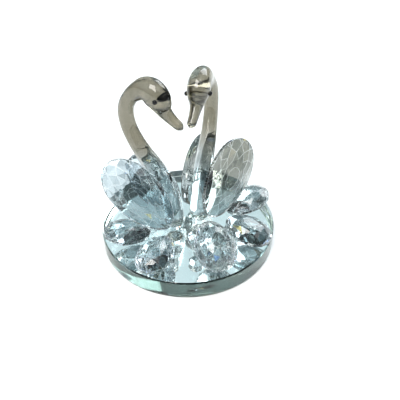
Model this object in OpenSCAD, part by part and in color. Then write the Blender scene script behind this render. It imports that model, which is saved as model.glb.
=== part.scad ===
// Pair of crystal glass swans on a round mirrored glass base.
// Millimetres, +Z up. The origin is the centre of the underside of the base.
// The front is -Y. The right half mirrors the left, apart from the hand-set petals.

/* [Base] */
// Diameter of the glass disc
base_d = 80; // [78:1:90]
// Thickness of the glass disc
base_t = 8.6; // [6:0.2:10]
// Polished chamfer on both rims of the disc
base_chamfer = 0.5; // [0.4:0.1:1.2]
// Thickness of the silvered backing
mirror_t = 0.5; // [0.3:0.1:0.8]

/* [Swans] */
// Angle between each swan's heading and the front axis
swan_turn = 40.5; // [40:0.5:43]
// Distance of each swan's own origin from the mid-plane
swan_side = 3.2; // [3:0.1:4]
// Distance of each swan's own origin in front of the centre
swan_front = 2.6; // [0:0.2:3]
// Lean of each neck towards the other swan, in degrees
neck_lean = 1.9; // [1.5:0.1:2.5]
// How far each neck bows to the front side on its way up
neck_bow = 1; // [0.6:0.1:1.2]
// Diameter of the black glass eyes
eye_d = 2; // [1.6:0.1:2.2]

/* [Wings] */
// Length of the front wings
wing_l = 39.5; // [38:0.5:40.5]
// Width of the front wings
wing_w = 21.5; // [19.5:0.5:22]
// Length of the rear wings
rear_wing_l = 35; // [33:1:36]
// Width of the rear wings
rear_wing_w = 20.6; // [18:0.2:21]
// Thickness of a wing's girdle
wing_girdle = 2.2; // [1.6:0.1:2.2]
// Height of a wing's faceted crown
wing_crown = 2.6; // [1.6:0.1:3]
// Height of a wing's bevelled flat back
wing_back = 0.6; // [0.4:0.1:0.6]
// Facets round a wing's crown
wing_cuts = 12; // [9:1:14]

/* [Petals] */
// Length of the four side petals
petal_l = 22; // [19:0.5:23]
// Width of the four side petals
petal_w = 15.5; // [13:0.5:16]
// Thickness of the four side petals
petal_t = 10; // [8:0.5:10.5]
// Length of the large petal at the front
front_petal_l = 23; // [20:0.5:24]
// Width of the large petal at the front
front_petal_w = 18; // [16:0.5:19]
// Thickness of the large petal at the front
front_petal_t = 15; // [12:0.5:15.5]
// Facets round the crown of the four side petals
petal_cuts = 8; // [6:1:10]
// Facets round the crown of the large petal at the front
front_petal_cuts = 12; // [8:1:14]
// Diameter of the faceted bead in the middle
bead_d = 8; // [6:0.5:8]

/* [Hidden] */

base_top = mirror_t + base_t;
glue = 0.03;        // clear adhesive film between bonded faces
neck_sides = 24;    // sides of the neck's rings
ring_steps = 3;     // rings from one neck station to the next
eye_gap = 0.05;     // adhesive round an eye in its socket
egg = 0.12;         // how much broader than long-oval the outer end of a crystal is

// A neck's stations from foot to bill tip: forward, up, height, width and turn of the section.
NECK = [
    [-4.6, 0, 7, 7, 0], [-4.8, 1.2, 9.4, 9, 0], [-5, 3.2, 10.2, 9.6, 0],
    [-5.6, 7, 10.4, 9.8, 0], [-6.6, 14, 10.2, 9.4, 0], [-9, 22, 9.8, 8.8, 0],
    [-13.8, 29, 9, 8, 0], [-18.4, 33.8, 8.3, 7.4, 0], [-22.9, 39.4, 7.7, 6.8, 0],
    [-26.2, 45.3, 7.4, 6.5, 0], [-27.3, 51.4, 7.2, 6.4, 0], [-26.4, 56.1, 7, 6.4, 0],
    [-23.9, 60.2, 7, 6.4, 0], [-20.5, 63.1, 8.2, 7.2, 0], [-16.8, 64.8, 10.4, 8.6, 4],
    [-13.4, 64.4, 12.2, 9.6, 8], [-10.9, 62.2, 12, 9.8, 12], [-9.3, 59.6, 9.8, 8.4, 14],
    [-7.9, 57.1, 7, 6, 14], [-5.9, 55.2, 5.4, 4.8, 14], [-3.2, 53.3, 4.4, 4.2, 14],
    [-0.9, 51.9, 3.4, 3.8, 14], [0, 51.3, 1.6, 2, 14]];
foot_top = 3;       // the rings of the foot lie level up to this height
flat_top = 38;      // the wings' ground flats on a neck end at this height
bow_top = 44;       // the bow ends at this height

// Places of the eyes' centres on each head: forward, out from the middle of the head, and up.
LEFT_EYES = [[-9.4, 4.8, 63.2], [-12.4, -4.6, 60.4]];
RIGHT_EYES = [[-11, 5, 61.5], [-9.2, -4.6, 60.8]];

// Wing poses in the swan's own frame: centre, sweep back, splay out and roll, in degrees.
FRONT_WING = [[-12, 9, 19.8], 60, 15.5, 37];
REAR_WING = [[-20, 6.5, 14.9], 28, -5, -16];
// How each wing is set on its bonded face: turn in degrees, then slides along and across it.
LEFT_FRONT_SET = [17, 3.6, -2];
RIGHT_FRONT_SET = [7, 1.2, -2.4];
LEFT_REAR_SET = [-7, -2.5, 0];
RIGHT_REAR_SET = [0, 0, 0];

// Petals: place angle from the front axis, place radius, heading, tilt of the outer end, height.
LEFT_SIDE = [-86, 29.6, -88, 14, 4.1];
LEFT_FRONT = [-48, 30, -46, -4, 4.2];
FRONT = [4, 28, 2, -28, 7.4];
RIGHT_FRONT = [45, 29.8, 38, -9, 4.3];
RIGHT_SIDE = [86, 29.4, 88, 17, 4.3];
BEAD = [-2.5, -16.5, 3.6];

// Vector helpers
function unit(v) = v / norm(v);
function spline(a, b, c, d, t) =
    0.5 * (2 * b + (c - a) * t + (2 * a - 5 * b + 4 * c - d) * t * t
        + (3 * b - a - 3 * c + d) * t * t * t);

// A wing's axes: long axis, short axis and the outward normal.
function wing_long(p) = [-sin(p[1]) * cos(p[2]), sin(p[2]), cos(p[1]) * cos(p[2])];
function wing_short(p) =
    let (d = wing_long(p), s0 = unit(cross(d, [0, 1, 0])), n0 = cross(s0, d))
    s0 * cos(p[3]) + n0 * sin(p[3]);
function wing_normal(p) = cross(wing_short(p), wing_long(p));
// The plane of a wing's flat back: its normal and its distance from the swan's origin.
function back_plane(p) =
    [wing_normal(p), wing_normal(p) * p[0] - wing_girdle / 2 - wing_back - glue];
// The rear wing is on the swan's other side.
function other_side(v) = [v[0], -v[1], v[2]];
FLATS = [back_plane(FRONT_WING),
    [other_side(back_plane(REAR_WING)[0]), back_plane(REAR_WING)[1]]];

// Neck stations and the rings between them: forward, sideways, up, height, width and turn.
function sideways(z) = neck_bow * sin(180 * min(z / bow_top, 1)) - z * tan(neck_lean);
function lean_out(s) = [s[0], sideways(s[1]), s[1], s[2], s[3], s[4]];
last = len(NECK) - 1;
RINGS = [for (i = [0 : last - 1], k = [0 : ring_steps - 1])
        spline(lean_out(NECK[max(i - 1, 0)]), lean_out(NECK[i]), lean_out(NECK[i + 1]),
            lean_out(NECK[min(i + 2, last)]), k / ring_steps),
    lean_out(NECK[last])];
function ring_centre(i) = [RINGS[i][0], RINGS[i][1], RINGS[i][2]];
function ring_axis(i) =
    RINGS[i][2] < foot_top ? [0, 0, 1]
        : unit(ring_centre(min(i + 1, len(RINGS) - 1)) - ring_centre(i - 1));
// How far a ray from a ring's centre runs before it meets a wing's back.
function to_flat(c, dir, f) =
    c[2] < flat_top && dir * f[0] > 0.05 ? (f[1] - c * f[0]) / (dir * f[0]) : 100;
function ring_point(i, a) =
    let (axis = ring_axis(i), t = RINGS[i][5], level = [-sin(t), cos(t), 0],
        side = unit(level - axis * (axis * level)), up = cross(axis, side),
        v = side * (RINGS[i][4] / 2 * cos(a)) + up * (RINGS[i][3] / 2 * sin(a)),
        c = ring_centre(i), reach = min([norm(v), for (f = FLATS) to_flat(c, unit(v), f)]))
    c + unit(v) * reach;

// Puts a swan's own frame on the base: x forward, y to the front side, z up.
module on_base(side) {
    mirror([side < 0 ? 1 : 0, 0, 0])
        translate([swan_side, -swan_front, base_top])
            rotate([0, 0, -90 - swan_turn])
                children();
}

// One solid glass rod: foot, neck, head and bill.
module neck_rod() {
    count = len(RINGS);
    points = [for (i = [0 : count - 1], j = [0 : neck_sides - 1])
            ring_point(i, j * 360 / neck_sides)];
    sides = [for (i = [0 : count - 2], j = [0 : neck_sides - 1])
            let (k = (j + 1) % neck_sides)
            each [[i * neck_sides + j, (i + 1) * neck_sides + j, (i + 1) * neck_sides + k],
                [i * neck_sides + j, (i + 1) * neck_sides + k, i * neck_sides + k]]];
    foot = [[for (j = [0 : neck_sides - 1]) j]];
    tip = [[for (j = [neck_sides - 1 : -1 : 0]) (count - 1) * neck_sides + j]];
    polyhedron(points, concat(sides, foot, tip), convexity = 10);
}

function eye_centre(place) = [place[0], place[1] + sideways(place[2]), place[2]];

module swan_neck(side, eyes) {
    color([0.62, 0.60, 0.54, 0.6])
        on_base(side)
            difference() {
                neck_rod();
                for (place = eyes)
                    translate(eye_centre(place))
                        sphere(d = eye_d + 2 * eye_gap, $fn = 32);
            }
}

module eye(side, place) {
    color([0.03, 0.03, 0.03])
        on_base(side)
            translate(eye_centre(place))
                sphere(d = eye_d, $fn = 32);
}

// One ring of corners of a cut crystal, on an egg-shaped outline.
function gem_ring(l, w, scale, z, count, phase) =
    [for (j = [0 : count - 1])
            let (a = (j + phase) * 360 / count)
            [scale * l / 2 * cos(a), scale * w / 2 * sin(a) * (1 + egg * cos(a)), z]];

// A cut crystal: planar facets between rings of corners, from the table to the back.
module gem(rings) {
    points = [for (r = rings) each r];
    hull()
        polyhedron(points, [for (i = [0 : 3 : len(points) - 3]) [i, i + 1, i + 2],
            [len(points) - 3, len(points) - 2, len(points) - 1]]);
}

// A flat-backed wing plate: rows of kite facets climb to the table of a low dome.
module wing_plate(l, w) {
    half = wing_girdle / 2;
    rows = [[0.28, 0.98, 0], [0.48, 0.87, 0.5], [0.67, 0.68, 0], [0.85, 0.39, 0.5]];
    girdle_cuts = 4 * wing_cuts;
    gem([for (r = rows) gem_ring(l, w, r[0], half + r[1] * wing_crown, wing_cuts, r[2]),
        gem_ring(l, w, 1, half, girdle_cuts, 0),
        gem_ring(l, w, 1, -half, girdle_cuts, 0),
        gem_ring(l, w, 0.94, -half - wing_back, girdle_cuts, 0)]);
}

module wing(side, pose, set, face, l, w) {
    d = wing_long(pose);
    s = wing_short(pose);
    n = wing_normal(pose);
    c = pose[0];
    color([0.72, 0.82, 0.84, 0.5])
        difference() {
            on_base(side)
                mirror([0, face < 0 ? 1 : 0, 0])
                    multmatrix([[d[0], -s[0], n[0], c[0]], [d[1], -s[1], n[1], c[1]],
                            [d[2], -s[2], n[2], c[2]]])
                        translate([set[1], set[2], 0])
                            rotate([0, 0, set[0]])
                                wing_plate(l, w);
            ground();
        }
}

module front_wing(side, set) {
    wing(side, FRONT_WING, set, 1, wing_l, wing_w);
}

module rear_wing(side, set) {
    wing(side, REAR_WING, set, -1, rear_wing_l, rear_wing_w);
}

// A thick crystal with facets on both faces, ground flat where it sits on the base.
module petal(place, l, w, t, cuts) {
    girdle = 0.16 * t;
    crown = 0.46 * t;
    back = t - girdle - crown;
    turn = place[2] - 90;
    color([0.70, 0.80, 0.83, 0.5])
        difference() {
            translate([place[1] * sin(place[0]), -place[1] * cos(place[0]), base_top + place[4]])
                rotate([0, 0, turn])
                    rotate([0, -place[3], 0])
                        gem([gem_ring(l, w, 0.32, girdle / 2 + crown, cuts, 0),
                            gem_ring(l, w, 0.6, girdle / 2 + 0.8 * crown, cuts, 0.5),
                            gem_ring(l, w, 0.84, girdle / 2 + 0.45 * crown, cuts, 0),
                            gem_ring(l, w, 1, girdle / 2, 2 * cuts, 0.5),
                            gem_ring(l, w, 1, -girdle / 2, 2 * cuts, 0.5),
                            gem_ring(l, w, 0.72, -girdle / 2 - 0.62 * back, cuts, 0.5),
                            gem_ring(l, w, 0.34, -girdle / 2 - back, cuts, 0)]);
            ground();
        }
}

module side_petal(place) {
    petal(place, petal_l, petal_w, petal_t, petal_cuts);
}

module front_petal() {
    petal(FRONT, front_petal_l, front_petal_w, front_petal_t, front_petal_cuts);
}

// Everything below the clear adhesive on top of the base.
module ground() {
    translate([-base_d, -base_d, base_top + glue - base_d])
        cube([2 * base_d, 2 * base_d, base_d]);
}

module base_disc() {
    r = base_d / 2;
    c = base_chamfer;
    color([0.66, 0.76, 0.79, 0.5])
        translate([0, 0, mirror_t])
            rotate_extrude($fn = 120)
                polygon([[0, 0], [r - c, 0], [r, c], [r, base_t - c], [r - c, base_t],
                    [0, base_t]]);
}

module mirror_backing() {
    color([0.75, 0.78, 0.80])
        cylinder(r = base_d / 2 - base_chamfer, h = mirror_t, $fn = 120);
}

module centre_bead() {
    rows = [[66, 0], [28, 0.5], [-28, 0], [-66, 0.5]];  // latitude and phase of the corners
    color([0.75, 0.84, 0.86, 0.5])
        difference() {
            translate([BEAD[0], BEAD[1], base_top + BEAD[2]])
                gem([for (r = rows)
                    [for (j = [0 : 7])
                        let (a = (j + r[1]) * 45)
                        [cos(a) * cos(r[0]), sin(a) * cos(r[0]), sin(r[0])] * bead_d / 2]]);
            ground();
        }
}

base_disc();
mirror_backing();
swan_neck(-1, LEFT_EYES);  // left_neck
swan_neck(1, RIGHT_EYES);  // right_neck
front_wing(-1, LEFT_FRONT_SET);  // left_front_wing
front_wing(1, RIGHT_FRONT_SET);  // right_front_wing
rear_wing(-1, LEFT_REAR_SET);  // left_rear_wing
rear_wing(1, RIGHT_REAR_SET);  // right_rear_wing
eye(-1, LEFT_EYES[0]);  // left_eye_front
eye(-1, LEFT_EYES[1]);  // left_eye_rear
eye(1, RIGHT_EYES[0]);  // right_eye_front
eye(1, RIGHT_EYES[1]);  // right_eye_rear
side_petal(LEFT_SIDE);  // left_side_petal
side_petal(LEFT_FRONT);  // left_front_petal
front_petal();
side_petal(RIGHT_FRONT);  // right_front_petal
side_petal(RIGHT_SIDE);  // right_side_petal
centre_bead();
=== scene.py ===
"""Looks for the crystal glass swan pair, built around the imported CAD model."""

from math import cos, pi, radians, sin, tan

import bmesh
import bpy
from mathutils import Matrix, Vector


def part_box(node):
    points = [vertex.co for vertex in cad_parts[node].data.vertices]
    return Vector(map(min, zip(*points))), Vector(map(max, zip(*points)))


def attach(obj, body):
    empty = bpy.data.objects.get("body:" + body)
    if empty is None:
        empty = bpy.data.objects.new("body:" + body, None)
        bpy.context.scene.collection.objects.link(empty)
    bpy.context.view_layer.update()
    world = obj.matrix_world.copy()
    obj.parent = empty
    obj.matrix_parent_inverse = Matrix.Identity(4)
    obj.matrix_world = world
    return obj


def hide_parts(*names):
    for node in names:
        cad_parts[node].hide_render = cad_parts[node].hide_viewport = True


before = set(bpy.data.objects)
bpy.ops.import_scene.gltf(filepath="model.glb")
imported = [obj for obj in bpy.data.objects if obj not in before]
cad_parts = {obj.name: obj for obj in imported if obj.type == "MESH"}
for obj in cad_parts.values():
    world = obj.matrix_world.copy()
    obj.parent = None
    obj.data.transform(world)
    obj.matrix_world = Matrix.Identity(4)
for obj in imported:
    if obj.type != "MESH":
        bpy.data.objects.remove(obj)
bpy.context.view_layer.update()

MM = 0.001
BASE_LOW, BASE_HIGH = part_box("base_disc")
BASE_TOP = BASE_HIGH.z
SIDES = {"left": -1, "right": 1}
PETALS = [side + place for side in SIDES for place in ("_side_petal", "_front_petal")]
PETALS += ["front_petal"]
WINGS = [side + place for side in SIDES for place in ("_front_wing", "_rear_wing")]
EYES = [side + place for side in SIDES for place in ("_eye_front", "_eye_rear")]

# Adhesive closes each joint: a rebuilt piece reaches this far into the film and its neighbour.
BOND = 0.05 * MM


# ---------------------------------------------------------------- camera, floor and light

def add_camera():
    """The camera looks down on the middle of the disc's top from the left of the front."""
    azimuth, elevation, roll = radians(-19.5), radians(41.5), radians(-1.7)
    distance = 260 * MM
    towards = Vector((sin(azimuth) * cos(elevation), -cos(azimuth) * cos(elevation), sin(elevation)))
    data = bpy.data.cameras.new("camera")
    data.lens = 49.8
    data.shift_x, data.shift_y = 0.0304, 0.0503
    data.clip_start = 10 * MM
    camera = bpy.data.objects.new("camera", data)
    bpy.context.scene.collection.objects.link(camera)
    turn = towards.to_track_quat("Z", "Y").to_matrix().to_4x4() @ Matrix.Rotation(roll, 4, "Z")
    camera.matrix_world = Matrix.Translation(Vector((0, 0, BASE_TOP)) + towards * distance) @ turn
    bpy.context.scene.camera = camera


def mesh_object(name, points, faces):
    """A new object in the scene with this mesh."""
    mesh = bpy.data.meshes.new(name)
    mesh.from_pydata(points, [], faces)
    mesh.update()
    piece = bpy.data.objects.new(name, mesh)
    bpy.context.scene.collection.objects.link(piece)
    return piece


def add_floor():
    """A wide sheet of pale paper, just clear of the base."""
    half, gap = 4, 0.02 * MM
    corners = [(-half, -half, 0), (half, -half, 0), (half, half, 0), (-half, half, 0)]
    floor = mesh_object("floor", corners, [(0, 1, 2, 3)])
    floor.location.z = -gap
    floor.data.materials.append(floor_paper())


def add_softbox(name, place, size, power, colour):
    """A square area light aimed at the middle of the object."""
    data = bpy.data.lights.new(name, "AREA")
    data.size = size
    data.energy = power
    data.color = colour
    light = bpy.data.objects.new(name, data)
    bpy.context.scene.collection.objects.link(light)
    light.location = place
    aim = Vector((0, 0, 30 * MM)) - light.location
    light.rotation_euler = aim.to_track_quat("-Z", "Y").to_euler()


# Panels and dark corners of the studio: direction, half angles at full strength and at the fade's
# end, in degrees, then colour and strength.
STUDIO = [
    ((0.35, 0.70, 0.62), 22, 44, (0.74, 0.89, 0.94), 1.10),
    ((0.10, 0.95, 0.05), 8, 30, (0.24, 0.24, 0.23), 1.00),
    ((-0.85, 0.20, 0.50), 14, 30, (0.80, 0.92, 0.98), 1.10),
    ((0.98, -0.20, 0.15), 8, 24, (0.20, 0.22, 0.22), 1.00),
    ((0.10, -0.55, 0.85), 10, 18, (0.95, 0.98, 1.00), 2.20),
    ((-0.30, -0.90, 0.25), 10, 34, (0.13, 0.15, 0.16), 1.00),
]


def add_studio():
    """Soft surroundings: a dim sky, with pale blue panels and darker corners in it."""
    world = bpy.data.worlds.new("studio")
    world.use_nodes = True
    bpy.context.scene.world = world
    tree = world.node_tree
    tree.nodes.clear()
    look = tree.nodes.new("ShaderNodeTexCoord").outputs["Generated"]
    height = node(tree, "ShaderNodeSeparateXYZ", Vector=look).outputs["Z"]
    sky = ramp(tree, height, [
        (0.0, (0.24, 0.24, 0.22)), (0.35, (0.36, 0.40, 0.41)), (1.0, (0.38, 0.46, 0.50))])
    for direction, inner, outer, colour, strength in STUDIO:
        facing = vector_math(tree, "DOT_PRODUCT", look, Vector(direction).normalized()).outputs["Value"]
        share = smooth_share(tree, facing, cos(radians(outer)), cos(radians(inner)))
        tint = tuple(c * strength for c in colour)
        sky = mix_colour(tree, share, sky, tint)
    background = node(tree, "ShaderNodeBackground", Color=sky, Strength=1.0)
    output = tree.nodes.new("ShaderNodeOutputWorld")
    tree.links.new(background.outputs["Background"], output.inputs["Surface"])


# ---------------------------------------------------------------- node helpers

def node(tree, kind, **values):
    """A new node. Each value sets or is linked to the input of its name, or is a setting of the node."""
    made = tree.nodes.new(kind)
    for name, value in values.items():
        if name in made.inputs:
            if isinstance(value, bpy.types.NodeSocket):
                tree.links.new(value, made.inputs[name])
            else:
                if made.inputs[name].type == "RGBA" and len(value) == 3:
                    value = (*value, 1)
                made.inputs[name].default_value = value
        else:
            setattr(made, name, value)
    return made


def vector_math(tree, operation, first, second):
    made = node(tree, "ShaderNodeVectorMath", operation=operation)
    for socket, value in zip(made.inputs, (first, second)):
        if isinstance(value, bpy.types.NodeSocket):
            tree.links.new(value, socket)
        else:
            socket.default_value = value
    return made


def ramp(tree, share, stops):
    """The colours at these stops along share, as one colour output."""
    made = node(tree, "ShaderNodeValToRGB", Fac=share)
    elements = made.color_ramp.elements
    elements[0].position, elements[1].position = stops[0][0], stops[-1][0]
    for place, colour in stops[1:-1]:
        elements.new(place)
    for element, (place, colour) in zip(elements, stops):
        element.color = (*colour, 1)
    return made.outputs["Color"]


def mix_colour(tree, share, first, second, blend="MIX"):
    """First where share is 0 and second where it is 1. Either may be a colour or a socket."""
    made = node(tree, "ShaderNodeMix", data_type="RGBA", blend_type=blend)
    for socket, value in ((made.inputs[0], share), (made.inputs[6], first), (made.inputs[7], second)):
        if isinstance(value, bpy.types.NodeSocket):
            tree.links.new(value, socket)
        else:
            socket.default_value = (*value, 1) if isinstance(value, tuple) else value
    return made.outputs[2]


def noise(tree, scale, detail=2.0, stretch=(1, 1, 1)):
    """Noise in the object's own metres. Returns its factor."""
    place = tree.nodes.new("ShaderNodeTexCoord").outputs["Object"]
    place = vector_math(tree, "MULTIPLY", place, stretch).outputs["Vector"]
    return node(tree, "ShaderNodeTexNoise", Vector=place, Scale=scale, Detail=detail).outputs["Fac"]


def object_place(tree):
    """The X, Y and Z outputs of the place on the object, in metres."""
    place = tree.nodes.new("ShaderNodeTexCoord").outputs["Object"]
    return node(tree, "ShaderNodeSeparateXYZ", Vector=place).outputs


def smooth_share(tree, value, low, high):
    """0 below low, 1 above high, and a smooth step between."""
    return node(tree, "ShaderNodeMapRange", interpolation_type="SMOOTHSTEP", Value=value,
                **{"From Min": low, "From Max": high}).outputs["Result"]


def new_material(name):
    material = bpy.data.materials.new(name)
    material.use_nodes = True
    tree = material.node_tree
    tree.nodes.clear()
    shader = tree.nodes.new("ShaderNodeBsdfPrincipled")
    output = tree.nodes.new("ShaderNodeOutputMaterial")
    tree.links.new(shader.outputs["BSDF"], output.inputs["Surface"])
    return material, tree, shader


def smudges(tree, shader, low, high):
    """Polished glass is a little rougher where fingers touched it."""
    spread = node(tree, "ShaderNodeMapRange", Value=noise(tree, 90, 3),
                  **{"From Min": 0.45, "From Max": 0.75, "To Min": low, "To Max": high})
    tree.links.new(spread.outputs["Result"], shader.inputs["Roughness"])


# ---------------------------------------------------------------- materials

def floor_paper():
    """Matt white paper with a faint cloudiness."""
    material, tree, shader = new_material("floor_paper")
    tone = ramp(tree, noise(tree, 6), [(0.3, (0.86, 0.86, 0.86)), (0.7, (0.89, 0.89, 0.89))])
    tree.links.new(tone, shader.inputs["Base Color"])
    shader.inputs["Roughness"].default_value = 0.7
    return material


def swan_glass():
    """Flame-worked rod: above the wings a dark taupe tint is painted in for the dim surroundings seen
    through the glass; clearer below, with drawn striae and fine waves.
    """
    material, tree, shader = new_material("swan_glass")
    striae = noise(tree, 260, 3, (1, 1, 0.16))
    # Painted refraction: this dark taupe stands in for the dim surroundings seen through the neck above
    # the wings.
    painted_surroundings = ramp(tree, striae, [(0.35, (0.15, 0.135, 0.095)), (0.65, (0.21, 0.192, 0.145))])
    clear = ramp(tree, striae, [(0.40, (0.34, 0.39, 0.40)), (0.60, (0.80, 0.84, 0.85))])
    share = smooth_share(tree, object_place(tree)["Z"], BASE_TOP + 24 * MM, BASE_TOP + 38 * MM)
    tree.links.new(mix_colour(tree, share, clear, painted_surroundings), shader.inputs["Base Color"])
    shader.inputs["Transmission Weight"].default_value = 1
    shader.inputs["IOR"].default_value = 1.5
    smudges(tree, shader, 0.0, 0.03)
    ripple = noise(tree, 420, 2, (1, 1, 0.14))
    wave = node(tree, "ShaderNodeBump", Height=ripple, Strength=0.35, Distance=0.3 * MM)
    tree.links.new(wave.outputs["Normal"], shader.inputs["Normal"])
    return material


TONE_SEED, HUE_SEED = 5.0, 7.0


def facet_chance(tree, facet, seed):
    """An even random number for each facet."""
    made = node(tree, "ShaderNodeTexWhiteNoise", noise_dimensions="4D", Vector=facet, W=seed)
    return made.outputs["Value"]


def cut_crystal():
    """Lead crystal: each polished facet gets its own random lightness, painted in for the dark and bright
    reflections inside cut crystal, and a few get painted glints of spectral colour.

    Crystals towards the right darken with height to a painted taupe that stands in for the dim
    surroundings seen through them.
    """
    material, tree, shader = new_material("cut_crystal")
    normal = tree.nodes.new("ShaderNodeNewGeometry").outputs["True Normal"]
    facet = vector_math(tree, "SNAP", normal, (0.02, 0.02, 0.02)).outputs["Vector"]
    chance = facet_chance(tree, facet, TONE_SEED)
    # Painted reflections: the random blue-grey tones stand in for window light and dark corners seen in
    # the facets.
    tone = ramp(tree, chance, [
        (0.0, (0.24, 0.29, 0.31)), (0.3, (0.42, 0.49, 0.52)),
        (0.7, (0.58, 0.67, 0.70)), (1.0, (0.84, 0.90, 0.94))])
    place = object_place(tree)
    # Painted see-through: higher up and towards the right the crystals darken to a taupe that stands in
    # for the dim surroundings seen through them.
    above = smooth_share(tree, place["Z"], BASE_TOP - 4 * MM, BASE_TOP + 24 * MM)
    right = smooth_share(tree, place["X"], -14 * MM, 8 * MM)
    painted_taupe_share = node(tree, "ShaderNodeMath", operation="MULTIPLY")
    tree.links.new(above, painted_taupe_share.inputs[0])
    tree.links.new(right, painted_taupe_share.inputs[1])
    painted_taupe_tone = mix_colour(tree, 1.0, tone, (0.40, 0.365, 0.30), "MULTIPLY")
    tone = mix_colour(tree, painted_taupe_share.outputs["Value"], tone, painted_taupe_tone)
    # Painted glints: about one facet in seventy takes a strong yellow, blue or red tint that stands in
    # for the spectral fire of cut crystal.
    painted_glint_share = ramp(tree, chance, [
        (0.0, (0, 0, 0)), (0.985, (0, 0, 0)), (0.987, (1, 1, 1)), (1.0, (1, 1, 1))])
    painted_glint_colour = ramp(tree, facet_chance(tree, facet, HUE_SEED), [
        (0.0, (1.0, 0.62, 0.12)), (0.4, (1.0, 0.75, 0.30)), (0.45, (0.20, 0.35, 0.85)),
        (0.8, (0.30, 0.45, 0.95)), (0.85, (0.45, 0.10, 0.06)), (1.0, (0.35, 0.08, 0.05))])
    tree.links.new(mix_colour(tree, painted_glint_share, tone, painted_glint_colour), shader.inputs["Base Color"])
    shader.inputs["Transmission Weight"].default_value = 1
    shader.inputs["IOR"].default_value = 1.58
    smudges(tree, shader, 0.0, 0.02)
    return material


def polished_edge():
    """The hairline bevels between facets are polished less than the facets, and catch light."""
    material, tree, shader = new_material("polished_edge")
    tone = ramp(tree, noise(tree, 500), [(0.3, (0.90, 0.95, 0.98)), (0.7, (1.0, 1.0, 1.0))])
    tree.links.new(tone, shader.inputs["Base Color"])
    shader.inputs["Transmission Weight"].default_value = 1
    shader.inputs["IOR"].default_value = 1.58
    smudges(tree, shader, 0.25, 0.4)
    return material


def base_glass():
    """Float glass disc: clear through its thickness, sea-green along its edge, where the edge faces carry
    partly the glass's own green and partly a painted dark shade for the dim reflections seen through the
    side.
    """
    material, tree, shader = new_material("base_glass")
    face = ramp(tree, noise(tree, 40), [(0.3, (0.95, 0.98, 0.97)), (0.7, (0.99, 1.0, 1.0))])
    # The edge tone is partly the glass's own green and partly painted shade, darker for the dim
    # reflections seen through the side faces.
    edge = ramp(tree, noise(tree, 900, 2, (1, 1, 0.02)), [
        (0.35, (0.20, 0.235, 0.215)), (0.65, (0.34, 0.39, 0.37))])
    normal = tree.nodes.new("ShaderNodeNewGeometry").outputs["True Normal"]
    level = node(tree, "ShaderNodeSeparateXYZ", Vector=normal).outputs["Z"]
    flatness = node(tree, "ShaderNodeMath", operation="ABSOLUTE")
    tree.links.new(level, flatness.inputs[0])
    upward = smooth_share(tree, flatness.outputs["Value"], 0.8, 0.9)
    tree.links.new(mix_colour(tree, upward, edge, face), shader.inputs["Base Color"])
    shader.inputs["Transmission Weight"].default_value = 1
    shader.inputs["IOR"].default_value = 1.52
    smudges(tree, shader, 0.0, 0.02)
    inside = node(tree, "ShaderNodeVolumeAbsorption", Color=(0.66, 0.74, 0.68), Density=24.0)
    output = next(n for n in tree.nodes if n.type == "OUTPUT_MATERIAL")
    tree.links.new(inside.outputs["Volume"], output.inputs["Volume"])
    return material


def silvering():
    """Silver on the upper face, seen through the glass, and grey protective paint on the rest."""
    material, tree, shader = new_material("silvering")
    silver = ramp(tree, noise(tree, 70, 3), [(0.3, (0.86, 0.90, 0.92)), (0.7, (0.92, 0.95, 0.97))])
    paint = ramp(tree, noise(tree, 300, 3), [(0.3, (0.10, 0.11, 0.10)), (0.7, (0.16, 0.17, 0.15))])
    normal = tree.nodes.new("ShaderNodeNewGeometry").outputs["True Normal"]
    level = node(tree, "ShaderNodeSeparateXYZ", Vector=normal).outputs["Z"]
    upper = smooth_share(tree, level, 0.4, 0.6)
    tree.links.new(mix_colour(tree, upper, paint, silver), shader.inputs["Base Color"])
    tree.links.new(upper, shader.inputs["Metallic"])
    smudges(tree, shader, 0.02, 0.07)
    return material


def eye_glass():
    """Black bead glass."""
    material, tree, shader = new_material("eye_glass")
    tone = ramp(tree, noise(tree, 900), [(0.3, (0.003, 0.003, 0.004)), (0.7, (0.008, 0.008, 0.009))])
    tree.links.new(tone, shader.inputs["Base Color"])
    shader.inputs["Specular IOR Level"].default_value = 0.2
    smudges(tree, shader, 0.04, 0.12)
    return material


# ---------------------------------------------------------------- shaping helpers

def subtract(piece, cutter):
    """Cuts cutter out of piece and removes the cutter."""
    cut = piece.modifiers.new("cut", "BOOLEAN")
    cut.operation = "DIFFERENCE"
    cut.solver = "MANIFOLD"
    cut.object = cutter
    bpy.context.view_layer.update()
    shape = bpy.data.meshes.new_from_object(piece.evaluated_get(bpy.context.evaluated_depsgraph_get()))
    piece.modifiers.clear()
    piece.data = shape
    bpy.data.objects.remove(cutter)


def smooth(piece, angle):
    """Smooth shading, with a hard edge where the surface turns by more than angle."""
    piece.data.shade_smooth()
    piece.data.set_sharp_from_angle(angle=radians(angle))


def finish_piece(piece, material, slot, *nodes):
    """Gives a new piece its material and body, and hides the CAD nodes that it stands for. The slot
    argument is not used.
    """
    piece.data.materials.clear()
    piece.data.materials.append(material)
    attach(piece, "root")
    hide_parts(*nodes)


# ---------------------------------------------------------------- base

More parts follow.
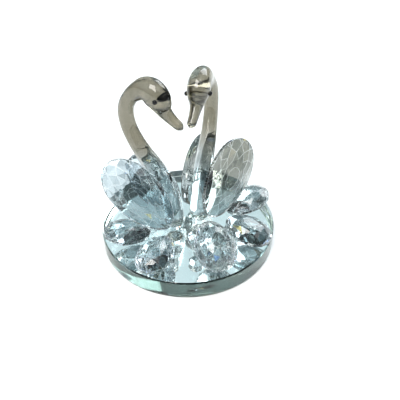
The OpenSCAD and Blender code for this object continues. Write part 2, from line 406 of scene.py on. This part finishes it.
def build_base():
    """The disc as a fine lathe turn. Its top closes the adhesive film, its underside meets the silver."""
    radius, chamfer, steps = BASE_HIGH.x, 0.5 * MM, 240
    ease = 0.1 * MM             # takes the corners off the chamfers
    into_silver = 0.02 * MM
    low, high = BASE_LOW.z - into_silver, BASE_TOP + BOND
    profile = [(radius - chamfer, low), (radius - ease, low + chamfer - ease),
               (radius, low + chamfer + ease / 2), (radius, high - chamfer - ease / 2),
               (radius - ease, high - chamfer + ease), (radius - chamfer, high)]
    points = [(r * cos(2 * pi * k / steps), r * sin(2 * pi * k / steps), z)
              for r, z in profile for k in range(steps)]
    faces = [tuple(reversed(range(steps))), tuple(range(len(points) - steps, len(points)))]
    for row in range(len(profile) - 1):
        for k in range(steps):
            a, b = row * steps + k, row * steps + (k + 1) % steps
            faces.append((a, b, b + steps, a + steps))
    disc = mesh_object("polished_disc", points, faces)
    smooth(disc, 25)
    finish_piece(disc, base_glass(), "base_glass", "base_disc")


# ---------------------------------------------------------------- swans

# The neck's stations, as the CAD has them, in millimetres and degrees:
# forward, up, height, width and turn of the section.
NECK = [
    (-4.6, 0, 7, 7, 0), (-4.8, 1.2, 9.4, 9, 0), (-5, 3.2, 10.2, 9.6, 0),
    (-5.6, 7, 10.4, 9.8, 0), (-6.6, 14, 10.2, 9.4, 0), (-9, 22, 9.8, 8.8, 0),
    (-13.8, 29, 9, 8, 0), (-18.4, 33.8, 8.3, 7.4, 0), (-22.9, 39.4, 7.7, 6.8, 0),
    (-26.2, 45.3, 7.4, 6.5, 0), (-27.3, 51.4, 7.2, 6.4, 0), (-26.4, 56.1, 7, 6.4, 0),
    (-23.9, 60.2, 7, 6.4, 0), (-20.5, 63.1, 8.2, 7.2, 0), (-16.8, 64.8, 10.4, 8.6, 4),
    (-13.4, 64.4, 12.2, 9.6, 8), (-10.9, 62.2, 12, 9.8, 12), (-9.3, 59.6, 9.8, 8.4, 14),
    (-7.9, 57.1, 7, 6, 14), (-5.9, 55.2, 5.4, 4.8, 14), (-3.2, 53.3, 4.4, 4.2, 14),
    (-0.9, 51.9, 3.4, 3.8, 14), (0, 51.3, 1.6, 2, 14)]
SWAN_TURN = 40.5        # degrees between a swan's heading and the front axis
SWAN_PLACE = (3.2, -2.6)    # the right swan's origin on the base
NECK_LEAN, NECK_BOW, BOW_TOP = 1.9, 1.0, 44.0
FOOT_TOP = 3.0          # the foot's rings lie level up to here
FLAT_TOP = 38.0         # the ground flats end here
NECK_SIDES, RING_STEPS, TIP_RINGS = 64, 9, 5
TIP_ROUND = 0.5         # how far the bill's rounded end stands past its last ring


def spline(a, b, c, d, t):
    """The value at t on the Catmull-Rom stretch from b to c."""
    return 0.5 * (2 * b + (c - a) * t + (2 * a - 5 * b + 4 * c - d) * t ** 2
                  + (3 * b - a - 3 * c + d) * t ** 3)


def neck_rings():
    """Ring centre, height, width and turn all along the neck, in the swan's own frame."""
    def station(k):
        forward, up, height, width, turn = NECK[min(max(k, 0), len(NECK) - 1)]
        sideways = NECK_BOW * sin(pi * min(up / BOW_TOP, 1)) - up * tan(radians(NECK_LEAN))
        return (forward, sideways, up, height, width, turn)
    rings = []
    for k in range(len(NECK) - 1):
        near = [station(k + i) for i in (-1, 0, 1, 2)]
        rings += [[spline(*values, i / RING_STEPS) for values in zip(*near)] for i in range(RING_STEPS)]
    return rings + [list(station(len(NECK) - 1))]


def neck_points():
    """The rings' corners, with a rounded end on the bill."""
    rings = neck_rings()
    centres = [Vector(r[:3]) for r in rings]
    points = []
    for k, (x, y, z, height, width, turn) in enumerate(rings):
        if z < FOOT_TOP:
            axis = Vector((0, 0, 1))
        else:
            axis = (centres[min(k + 1, len(rings) - 1)] - centres[k - 1]).normalized()
        level = Vector((-sin(radians(turn)), cos(radians(turn)), 0))
        across = (level - axis * axis.dot(level)).normalized()
        up = axis.cross(across)
        for j in range(NECK_SIDES):
            a = 2 * pi * j / NECK_SIDES
            points.append(centres[k] + across * (width / 2 * cos(a)) + up * (height / 2 * sin(a)))
    last = points[-NECK_SIDES:]
    for k in range(1, TIP_RINGS):
        a = pi / 2 * k / TIP_RINGS
        points += [centres[-1] + (p - centres[-1]) * cos(a) + axis * (TIP_ROUND * sin(a)) for p in last]
    points.append(centres[-1] + axis * TIP_ROUND)
    return points


def swan_matrix(side):
    """From a swan's own frame in millimetres to the object's frame in metres."""
    place = Matrix.Translation(Vector((*SWAN_PLACE, BASE_TOP / MM)))
    return (Matrix.Scale(MM, 4) @ Matrix.Diagonal((side, 1, 1, 1)) @ place
            @ Matrix.Rotation(radians(-90 - SWAN_TURN), 4, "Z"))


def flat_back(wing):
    """The plane of a wing's flat back, which is its largest face: a point on it and its normal."""
    faces = {}
    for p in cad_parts[wing].data.polygons:
        key = tuple(round(v, 2) for v in p.normal)
        faces.setdefault(key, []).append(p)
    back = max(faces.values(), key=lambda group: sum(p.area for p in group))
    return Vector(back[0].center), Vector(back[0].normal)


def ground_block(wing):
    """The block of air that the wing's back grinds out of the neck, closed by the adhesive."""
    point, normal = flat_back(wing)
    reach, top = 60 * MM, BASE_TOP + FLAT_TOP * MM
    turn = normal.to_track_quat("Z", "Y").to_matrix().to_4x4()
    block = bmesh.new()
    bmesh.ops.create_cube(block, size=2 * reach)
    block.transform(Matrix.Translation(point - normal * (reach + BOND)) @ turn)
    geometry = block.verts[:] + block.edges[:] + block.faces[:]
    bmesh.ops.bisect_plane(block, geom=geometry, plane_co=(0, 0, top), plane_no=(0, 0, 1),
                           clear_outer=True)
    bmesh.ops.holes_fill(block, edges=block.edges[:])
    mesh = bpy.data.meshes.new("ground_block")
    block.to_mesh(mesh)
    block.free()
    cutter = bpy.data.objects.new("ground_block", mesh)
    bpy.context.scene.collection.objects.link(cutter)
    return cutter


def socket_ball(eye):
    """The ball of air that holds an eye bead, closed by the adhesive."""
    low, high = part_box(eye)
    ball = bmesh.new()
    bmesh.ops.create_icosphere(ball, subdivisions=4, radius=(high.x - low.x) / 2 - BOND,
                               matrix=Matrix.Translation((low + high) / 2))
    mesh = bpy.data.meshes.new("socket_ball")
    ball.to_mesh(mesh)
    ball.free()
    cutter = bpy.data.objects.new("socket_ball", mesh)
    bpy.context.scene.collection.objects.link(cutter)
    return cutter


def build_neck(side_name, material):
    """One smooth glass rod: foot, neck, head and bill, ground for its wings and bored for its eyes."""
    side = SIDES[side_name]
    points = [swan_matrix(side) @ p for p in neck_points()]
    rows = (len(points) - 1) // NECK_SIDES
    tip = len(points) - 1
    faces = [tuple(reversed(range(NECK_SIDES)))]
    for row in range(rows - 1):
        for j in range(NECK_SIDES):
            a, b = row * NECK_SIDES + j, row * NECK_SIDES + (j + 1) % NECK_SIDES
            faces.append((a, b, b + NECK_SIDES, a + NECK_SIDES))
    last = (rows - 1) * NECK_SIDES
    faces += [(last + j, last + (j + 1) % NECK_SIDES, tip) for j in range(NECK_SIDES)]
    if side < 0:
        faces = [tuple(reversed(f)) for f in faces]
    neck = mesh_object(side_name + "_glass_neck", points, faces)
    for wing in WINGS:
        if wing.startswith(side_name):
            subtract(neck, ground_block(wing))
    for eye in EYES:
        if eye.startswith(side_name):
            subtract(neck, socket_ball(eye))
    smooth(neck, 32)
    finish_piece(neck, material, "swan_glass", side_name + "_neck")


# ---------------------------------------------------------------- crystals and other CAD nodes

def dress(node_name, material):
    """Gives a CAD node its material."""
    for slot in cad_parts[node_name].material_slots:
        slot.material = material


def polish_edges(node_name, material):
    """A cut crystal keeps the CAD's facets, and every facet's edge is polished to a hairline bevel."""
    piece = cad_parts[node_name]
    piece.data.materials.append(material)
    weld = piece.modifiers.new("weld", "WELD")
    weld.merge_threshold = 0.002 * MM
    flat = piece.modifiers.new("whole_facets", "DECIMATE")
    flat.decimate_type = "DISSOLVE"
    flat.angle_limit = radians(0.4)
    bevel = piece.modifiers.new("polished_edges", "BEVEL")
    bevel.width = 0.14 * MM
    bevel.segments = 1
    bevel.material = 1
    bevel.limit_method = "ANGLE"
    bevel.angle_limit = radians(3)


add_camera()
add_floor()
add_studio()
add_softbox("key", (-0.45, -0.35, 0.75), 0.5, 9, (1.0, 0.98, 0.95))
add_softbox("fill", (0.6, 0.3, 0.6), 0.6, 7, (0.92, 0.96, 1.0))
build_base()
# The swan glass carries a painted taupe tint above the wings for the surroundings seen through it.
painted_surroundings = swan_glass()
for side_name in SIDES:
    build_neck(side_name, painted_surroundings)
crystal, edge = cut_crystal(), polished_edge()
for name in WINGS + PETALS + ["centre_bead"]:
    dress(name, crystal)
    polish_edges(name, edge)
black = eye_glass()
for name in EYES:
    dress(name, black)
    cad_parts[name].data.shade_smooth()
dress("mirror_backing", silvering())

cycles = bpy.context.scene.cycles
cycles.max_bounces = cycles.transmission_bounces = 28
cycles.glossy_bounces = 12
cycles.sample_clamp_indirect = 6
bpy.context.scene.view_settings.view_transform = "Standard"
